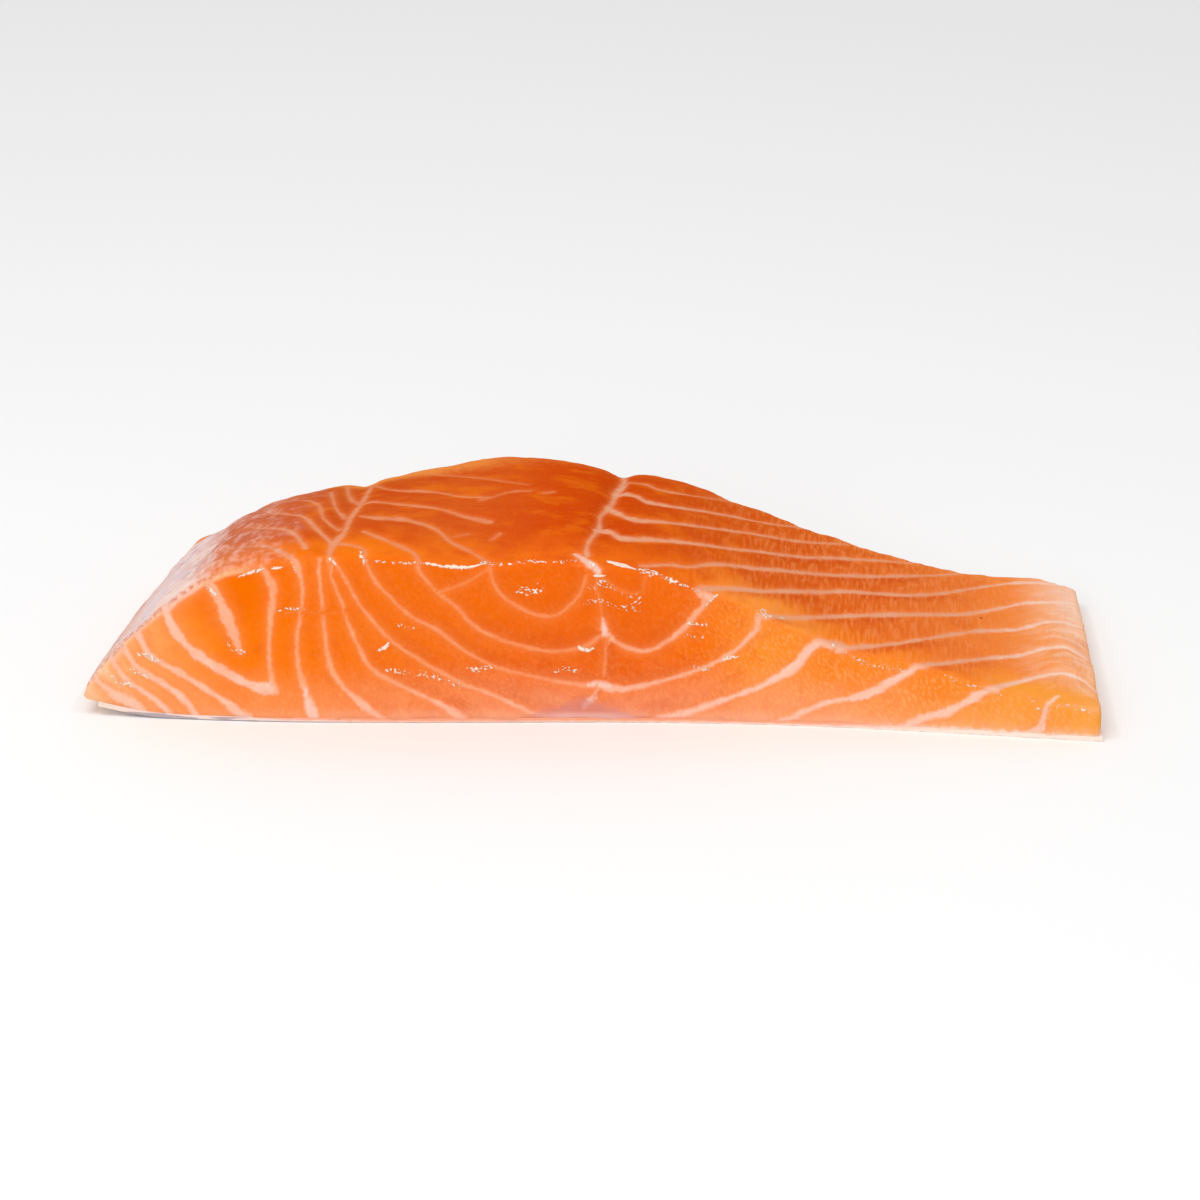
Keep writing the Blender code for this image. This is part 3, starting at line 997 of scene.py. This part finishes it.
muscle = salmon.layers(
    muscle,
    (broad.rise(-0.02, 0.25) * (0.1 + 0.15 * inner), RED),
    (brushed.rise(0.5, 0.7) * thick_side * 0.45, RED),
    (brushed.fall(0.32, 0.5) * thick_side * 0.38, BRIGHT),
    (mottle * 0.16, RED),
    (bed * rearward * cut * 0.26, RED),
    (rear_rim_sheen * inner, REAR_RIM_SHEEN),
    (band * 0.6, RED),
    (high * 0.55, DEEP),
    (grains * (1.0 - 0.8 * clear), PINK),
    (dots * (1.0 - 0.8 * clear), DOT),
    (low_pale, LOW_PALE),
    (fibre.rise(0.46, 0.66) * inner * x.rise(4, 34) * 0.42, FIBRE),
    (dark_fibres * 0.25, RED),
    (halo * 0.4, HALO),
    ((edge * 1.1).least(0.75), FAT_EDGE),
    (beside * 0.35, FAT_END),
    (trimmed * 0.6, FAT_END),
    (corner * 0.85, CORNER),
)
print("nodes with the muscle:", len(salmon.tree.nodes))

# %% [markdown]
# ## Fat, membrane, and water with painted glints
# The sheets of fat go over the muscle, palest where they are thick. Under the middle of the cut
# lies a little dark muscle with a lilac film below it. The back edge has a whitish membrane that
# ends in a rusty rim and in brown streaks. Water comes last, because it lies on top of
# everything, and its glints are painted on it as near-white colour.

# %% Fat and membrane
fat = salmon.layers(
    salmon.ramp(pale, FAT_ON_CUT),
    (inner, salmon.mix(pale.rise(0.4, 0.9), FAT_INNER_FAINT, FAT_INNER)),
    (pale.rise(1.0, 1.2) * 0.6, FAT_JOINT),
    (x.rise(56, 72) * inner * 0.8, FAT_END),
    (z.fall(2.0, 9.0) * cut * 0.6, FAT_THICK),
)
covering = 0.5 + 0.45 * pale + 0.9 * patchy + 0.2 * x.rise(15, 35) * cut
from_middle = abs(x + 1.0) * 0.4 + z + ragged * 1.6
film = (from_middle - z * 0.4).fall(2.0, 4.6) * z.fall(1.2, 2.2) * cut
belly_fat = (z + ragged * 1.2).fall(0.5, 1.5) * x.rise(36, 56)

streak = salmon.clouds(1.0, 3.0, salmon.stretched(0.7, 0.45, 0.6))
veil_reach = x + broad * 14.0 + (streak - 0.5) * 5.0 + ragged * 4.0
veil = inner * veil_reach.fall(-65, -56)
haze = inner * veil_reach.fall(-57, -42)
veil_colour = salmon.mix((patchy + broad).rise(-0.08, 0.12), MEMBRANE, MEMBRANE_COOL)
thread = salmon.clouds(1.0, 2.0, salmon.stretched(0.16, 1.1, 0.3))
rust = veil * (thread + patchy * 0.6).rise(0.6, 0.7)
rust_rim = (inner * cut * 4.0) ** 3.0 * x.fall(-60, -52) * fine.rise(0.4, 0.6)


def spot(place_x, place_y, inner_reach, outer_reach):
    """1 near a place and 0 beyond it, seen from above."""
    away = ((x - place_x) ** 2.0 + (y - place_y) ** 2.0) ** 0.5
    return away.fall(inner_reach, outer_reach) * inner


colour = salmon.layers(
    muscle,
    (line * covering.least(1.0), fat),
    (from_middle.fall(3.4, 5.4) * cut * 0.75, DARK_MUSCLE),
    (film * 0.7, LILAC),
    (belly_fat * 0.9, WHITE_FAT),
    (haze * (0.26 + 0.3 * streak.rise(0.36, 0.64)), MEMBRANE_STREAK),
    (haze * streak.fall(0.3, 0.6) * 0.36, MEMBRANE),
    (veil * (0.85 + 0.4 * patchy).least(0.95), veil_colour),
    ((rust * 0.5 + rust_rim * 0.6).least(0.8), RUST),
    (spot(-66.0, 24.5, 2.0, 4.0) * 0.9, LUMP),
    (spot(59.7, 3.0, 0.15, 0.4) * 0.8, SPECK),
)
print("nodes with the fat and membrane:", len(salmon.tree.nodes))

# %% Water with painted glints, and the flesh material
DROP_GAP = 3.4
FLESH_RELIEF = 0.12

bead_and_glint, _, broken = stored_line("bead_and_glint", feather * 0.7, ragged * 0.5, 0.09)
film_grain = salmon.clouds(0.4, 1.0) + (1.0 - broken) ** 2.0 * 0.3 - broken * 0.1
cells = (
    "ShaderNodeTexVoronoi", {"feature": "F1"}, {"Vector": salmon.place, "Scale": 1 / DROP_GAP},
)
drop_size = salmon.add(*cells, "Color") - 0.55
drop_and_glint = (drop_size * 0.12 - salmon.add(*cells, "Distance")).rise(0.0, 0.02) * cut * x.fall(20, 50)
water_and_glint = (bead_and_glint * film_grain.rise(0.49, 0.57)).most(drop_and_glint)

relief = fine * 0.5 + dust * 0.3 + line * 0.3 + fibre * belly_side * 0.5 + water_and_glint
# Where the water lies, its glints are painted as near-white colour over its real gloss and coat
salmon_material = salmon.finish(
    Base_Color=salmon.mix(water_and_glint * 0.85, colour, PAINTED_GLINT_WHITE),
    Roughness=0.5 - 0.4 * water_and_glint - 0.15 * veil,
    Metallic=0.0,
    Normal=salmon.bump(relief, FLESH_RELIEF),
    Subsurface_Weight=0.2,
    Subsurface_Radius=(1.0, 0.35, 0.15),
    Subsurface_Scale=0.0015,
    IOR=1.38,
    Specular_IOR_Level=0.0,
    Coat_Weight=water_and_glint + 0.12 * veil,
    Coat_Roughness=0.06,
)
flesh.data.materials.append(salmon_material)
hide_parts("flesh")
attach(flesh, "root")
print("the flesh's finish has", len(salmon.tree.nodes), "nodes")

# %% [markdown]
# ## The skin
# The skin is a thin sheet under the flesh, silver where it shows at the back edge. It is made
# from a flat grid that is laid out between the four edges of its solid and on its underside, and
# a Solidify modifier gives it its thickness. Its edges waver a little, as skin does after
# cutting.

# %% Measure the skin
HALF_SLAB = 25.0
SKIN_COLUMNS = 180
SKIN_ROWS = 64
SKIN_SHEET = 0.8
SKIN_WAVER = 0.08
SKIN_WAVER_SIZE = 4.0
SKIN_WAVER_SEED = 3
WAVER_AT_CUTS = 0.04
WAVER_AT_ENDS = 0.02
SMOOTH_ANGLE = 40

# Where the solid skin is measured: places on it, places beside it, and how finely
SAFE_Y, OUTSIDE_Y = 23.0, 40.0
SAFE_BACK_X, SAFE_BELLY_X, OUTSIDE_X = -55.0, 65.0, 90.0
FROM_CUT = 3.0
FRONT_CUT_X = (-74.0, 76.0)
REAR_CUT_X = (-64.0, 74.0)
BELOW = -20.0
EDGE_TESTS = 14
END_SAMPLES, CUT_SAMPLES, LIFT_SAMPLES = 9, 40, 24
LIFT_FROM, LIFT_TO = 0.2, 18.0

skin_solid = BVHTree.FromObject(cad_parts["skin"], bpy.context.evaluated_depsgraph_get())


def skin_underside(x, y):
    """Height of the skin's lower face at a place, or None beside the skin."""
    place, _, _, _ = skin_solid.ray_cast(Vector((x, y, BELOW)) * MM, Vector((0, 0, 1)))
    return None if place is None else place.z / MM


def skin_lift(inwards):
    """How far the skin stands off the board at a distance from its back edge."""
    return float(np.interp(inwards, lift_at, lift))


def edge_between(inside, outside):
    """The last place on the skin on the way from a place on it to one beside it."""
    inside, outside = np.array(inside, float), np.array(outside, float)
    for _ in range(EDGE_TESTS):
        middle = (inside + outside) / 2
        if skin_underside(*middle) is None:
            outside = middle
        else:
            inside = middle
    return inside


test_y = np.linspace(-SAFE_Y, SAFE_Y, END_SAMPLES)
left_x = [edge_between((SAFE_BACK_X, y), (-OUTSIDE_X, y))[0] for y in test_y]
right_x = [edge_between((SAFE_BELLY_X, y), (OUTSIDE_X, y))[0] for y in test_y]
left_fit = np.polyfit(test_y, left_x, 2)
right_fit = np.polyfit(test_y, right_x, 2)
lift_at = np.linspace(LIFT_FROM, LIFT_TO, LIFT_SAMPLES)
back_x = float(np.polyval(left_fit, 0.0))
lift = [skin_underside(back_x + inwards, 0.0) for inwards in lift_at]
front_x = np.linspace(*FRONT_CUT_X, CUT_SAMPLES)
front_y = [edge_between((x, -SAFE_Y + FROM_CUT), (x, -OUTSIDE_Y))[1] for x in front_x]
rear_x = np.linspace(*REAR_CUT_X, CUT_SAMPLES)
rear_y = [edge_between((x, SAFE_Y - FROM_CUT), (x, OUTSIDE_Y))[1] for x in rear_x]

print("the skin lies from X", round(min(left_x), 1), "to", round(max(right_x), 1))

# %% [markdown]
# ## The skin's sheet
# Each point of a flat grid gets a share from 0 to 1 along X and along Y. The shares say where it
# comes to lie between the measured edges, and its distance from the back edge says how far it is
# lifted off the board.

# %% Skin piece
bpy.ops.object.select_all(action="DESELECT")
bpy.ops.mesh.primitive_grid_add(x_subdivisions=SKIN_COLUMNS, y_subdivisions=SKIN_ROWS, size=1.0)
skin = bpy.context.active_object
skin.name = "salmon_skin"
grid = read_points(skin) * MM + 0.5
share_x, share_y = grid[:, 0], grid[:, 1]
near_y = HALF_SLAB * (2 * share_y - 1)
laid_x = np.polyval(left_fit, near_y) * (1 - share_x) + np.polyval(right_fit, near_y) * share_x
laid_y = np.interp(laid_x, front_x, front_y) * (1 - share_y)
laid_y += np.interp(laid_x, rear_x, rear_y) * share_y
flat = np.stack([laid_x, laid_y, 0 * laid_x], axis=1)
waver = SKIN_WAVER * (1 + uneven(flat, SKIN_WAVER_SIZE, SKIN_WAVER_SEED))
laid_y += waver * (ease(share_y, WAVER_AT_CUTS, 0.0) - ease(share_y, 1 - WAVER_AT_CUTS, 1.0))
laid_x += waver * (ease(share_x, WAVER_AT_ENDS, 0.0) - ease(share_x, 1 - WAVER_AT_ENDS, 1.0))
laid_z = np.array([skin_lift(x) for x in laid_x - np.polyval(left_fit, laid_y)])
write_points(skin, np.stack([laid_x, laid_y, laid_z], axis=1))
apply_modifier(skin, "SOLIDIFY", thickness=SKIN_SHEET * MM, offset=1.0)
edit_all(skin, bpy.ops.mesh.normals_make_consistent, inside=False)
bpy.ops.object.shade_smooth_by_angle(angle=math.radians(SMOOTH_ANGLE))
skin_points = read_points(skin)
print("the skin's box is", skin_points.min(0).round(2), skin_points.max(0).round(2))

# %% [markdown]
# ## The skin's finish
# Outside, which is underneath here, salmon skin is silver, darker and spotted towards the back,
# with small scales that overlap like tiles. At the cut it shows as a grey line at the back edge,
# and as a whitish one under the belly, where fat lies on it. The scales are a Voronoi pattern,
# squeezed so that they are longer along the fish, and they drive the colour, the gloss and a
# slight relief.

# %% Skin material
SKIN_BACK = (132, 128, 134)
SKIN_MIDDLE = (206, 190, 182)
SKIN_BELLY = (252, 226, 212)
SKIN_SPOT = (60, 62, 68)
RIM_TIP = (244, 218, 200)
RIM_BACK = (242, 220, 214)
RIM_DARK = (112, 110, 130)
RIM_MIDDLE = (250, 196, 170)
RIM_BELLY = (255, 232, 218)
RIM_FLESH = (248, 150, 104)
RIM_ALONG_X = (
    (-76, RIM_TIP), (-68, RIM_BACK), (-48, RIM_BACK), (-34, RIM_MIDDLE), (20, RIM_MIDDLE),
    (56, RIM_BELLY),
)
SCALE_RELIEF = 0.12

silver = Finish("salmon_skin")
x, z = silver.x, silver.z
under = z.fall(0.05, 0.3)
scales = silver.add(
    "ShaderNodeTexVoronoi", {"feature": "F1"},
    {"Vector": silver.stretched(0.75, 0.5, 0.2), "Scale": 1.0}, "Distance",
)
back = (x + silver.clouds(12.0) * 16.0).fall(-50, -20)
belly = (x + silver.clouds(8.0) * 10.0).rise(-10, 30)
spots = silver.clouds(4.5, 1.0).fall(0.28, 0.36) * back * under
underside = silver.layers(
    SKIN_MIDDLE,
    (belly, SKIN_BELLY),
    (back, SKIN_BACK),
    (spots, SKIN_SPOT),
    (scales.rise(0.3, 0.7) * 0.35 * under, SKIN_BACK),
)

dark = silver.clouds(1.0, 2.0, silver.stretched(0.12, 1.0, 1.4)).fall(0.38, 0.44)
dark = dark * x.rise(-76, -72) * x.fall(-58, -46)
flesh_share = (z + silver.clouds(1.5) * 0.5).rise(0.5, 0.8) * x.rise(-60, -40) * x.fall(30, 60)
rim = silver.layers(
    silver.ramp(x + (silver.clouds(3.0) - 0.5) * 8.0, RIM_ALONG_X),
    (dark * 0.6, RIM_DARK),
    (flesh_share * 0.75, RIM_FLESH),
)
skin_material = silver.finish(
    Base_Color=silver.mix(under, rim, underside),
    Metallic=0.35 * under,
    Roughness=0.3 + 0.2 * scales,
    Normal=silver.bump(scales * under + 0.4 * silver.clouds(0.7), SCALE_RELIEF),
    Subsurface_Weight=0.15,
    Subsurface_Radius=(1.0, 0.6, 0.5),
    Subsurface_Scale=0.0008,
    Coat_Weight=0.3,
    Coat_Roughness=0.1,
)
skin.data.materials.append(skin_material)
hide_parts("skin")
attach(skin, "root")
print("the skin's finish has", len(silver.tree.nodes), "nodes")

# %% [markdown]
# ## Floor and light
# The photo is a studio picture on pure white. A pale floor and a pale world give the even light,
# and one large soft lamp above and a little in front makes the wet edge between the cut and the
# inner side shine. The stage isn't part of the food.

# %% Floor
FLOOR_SIDE = 6000.0
PAPER_LIGHT = (250, 250, 250)
PAPER_SHADE = (244, 244, 244)

bpy.ops.object.select_all(action="DESELECT")
bpy.ops.mesh.primitive_plane_add(size=FLOOR_SIDE * MM)
floor = bpy.context.active_object
floor.name = "studio_floor"
paper = Finish("studio_paper")
paper_colour = paper.mix(paper.clouds(400.0) * 0.3, PAPER_LIGHT, PAPER_SHADE)
paper.finish(Base_Color=paper_colour, Roughness=0.9, Specular_IOR_Level=0.1)
floor.data.materials.append(paper.material)
print("the floor is", FLOOR_SIDE * MM, "m wide")

# %% Lights
WORLD_LIGHT = 0.62

# Each lamp has its place and its size in millimetres, and its power in watts
LAMPS = {
    "softbox_above": ((-150, -250, 700), 420, 1.5),
    "softbox_front": ((-300, -900, 500), 500, 1.8),
    "sparkle_left": ((-260, -160, 520), 18, 0.25),
    "sparkle_right": ((220, -140, 520), 18, 0.25),
}

world = bpy.data.worlds.new("studio_air")
world.use_nodes = True
background = world.node_tree.nodes["Background"]
background.inputs["Color"].default_value = (1.0, 1.0, 1.0, 1.0)
background.inputs["Strength"].default_value = WORLD_LIGHT
bpy.context.scene.world = world

for name, (place, size, watts) in LAMPS.items():
    lamp_data = bpy.data.lights.new(name, "AREA")
    lamp_data.shape = "SQUARE"
    lamp_data.size = size * MM
    lamp_data.energy = watts
    lamp = bpy.data.objects.new(name, lamp_data)
    bpy.context.scene.collection.objects.link(lamp)
    lamp.location = Vector(place) * MM
    lamp.rotation_mode = "QUATERNION"
    lamp.rotation_quaternion = Vector(place).to_track_quat("Z", "Y")
bpy.context.scene.view_settings.view_transform = "Standard"
print("lamps:", sorted(LAMPS))
